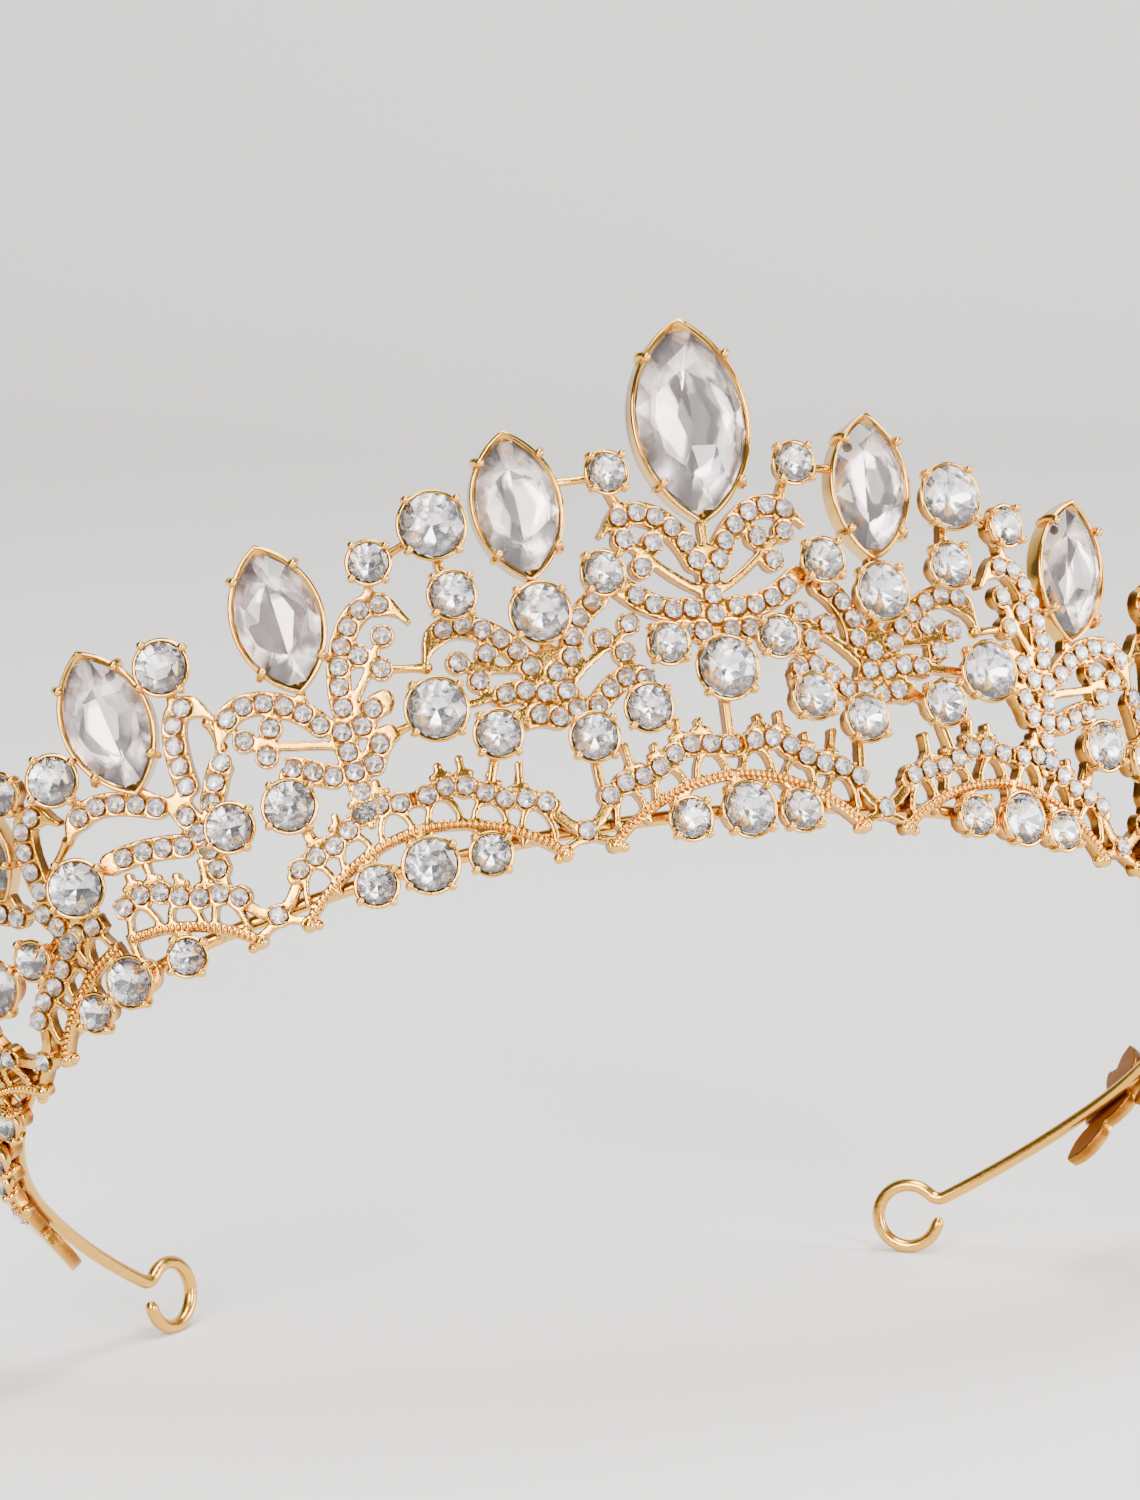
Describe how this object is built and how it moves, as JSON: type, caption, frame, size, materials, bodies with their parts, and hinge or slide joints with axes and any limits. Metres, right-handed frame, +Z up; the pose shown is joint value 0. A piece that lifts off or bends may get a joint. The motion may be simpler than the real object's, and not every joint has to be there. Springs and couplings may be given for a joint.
{
  "type": "bridal tiara",
  "caption": "Open wire-band tiara with soldered scrolled castings, a lace lower edge, marquise and round glass stones in cups, and an eyelet at each end.",
  "frame": {"origin": "middle of the head opening, level with the band wire (mount head_seat)", "axes": "+Z up and +X across as the tiara is worn; the front faces -Y and the band's front edge is tipped up 49 degrees"},
  "size_m": [0.1626, 0.0622, 0.1149],
  "materials": {
    "band_wire": "polished, pale gold plated",
    "cast_gold": "polished casting, warm pale gold plated",
    "cup_gold": "polished stamped cups and prongs",
    "marquise_glass": "faceted, foil-backed, faint blush",
    "round_glass": "faceted, foil-backed",
    "small_glass": "faceted, foil-backed"
  },
  "bodies": {
    "root": {"band_wire": "band_wire", "lace_arch_middle": "cast_gold", "lace_arch_left_1": "cast_gold", "lace_arch_left_2": "cast_gold", "lace_arch_left_3": "cast_gold", "lace_arch_right_1": "cast_gold", "lace_arch_right_2": "cast_gold", "lace_arch_right_3": "cast_gold", "lace_joiners_left": "cast_gold", "lace_joiners_right": "cast_gold", "end_leaf_left": "cast_gold", "end_leaf_right": "cast_gold", "fan_middle": "cast_gold", "fan_left_1": "cast_gold", "fan_left_2": "cast_gold", "fan_left_3": "cast_gold", "fan_left_4": "cast_gold", "fan_left_5": "cast_gold", "fan_right_1": "cast_gold", "fan_right_2": "cast_gold", "fan_right_3": "cast_gold", "fan_right_4": "cast_gold", "fan_right_5": "cast_gold", "link_bars_left": "cast_gold", "link_bars_right": "cast_gold", "marquise_cup_middle": "cup_gold", "marquise_cup_left_1": "cup_gold", "marquise_cup_left_2": "cup_gold", "marquise_cup_left_3": "cup_gold", "marquise_cup_left_4": "cup_gold", "marquise_cup_right_1": "cup_gold", "marquise_cup_right_2": "cup_gold", "marquise_cup_right_3": "cup_gold", "marquise_cup_right_4": "cup_gold", "marquise_middle": "marquise_glass", "marquise_left_1": "marquise_glass", "marquise_left_2": "marquise_glass", "marquise_left_3": "marquise_glass", "marquise_left_4": "marquise_glass", "marquise_right_1": "marquise_glass", "marquise_right_2": "marquise_glass", "marquise_right_3": "marquise_glass", "marquise_right_4": "marquise_glass", "round_cups_middle": "cup_gold", "round_cups_left": "cup_gold", "round_cups_right": "cup_gold", "round_stones_middle": "round_glass", "round_stones_left": "round_glass", "round_stones_right": "round_glass", "hanging_cups": "cup_gold", "hanging_stones": "round_glass", "small_stones_lace": "small_glass", "small_stones_fan_middle": "small_glass", "small_stones_fans_left": "small_glass", "small_stones_fans_right": "small_glass"}
  },
  "joints": []
}
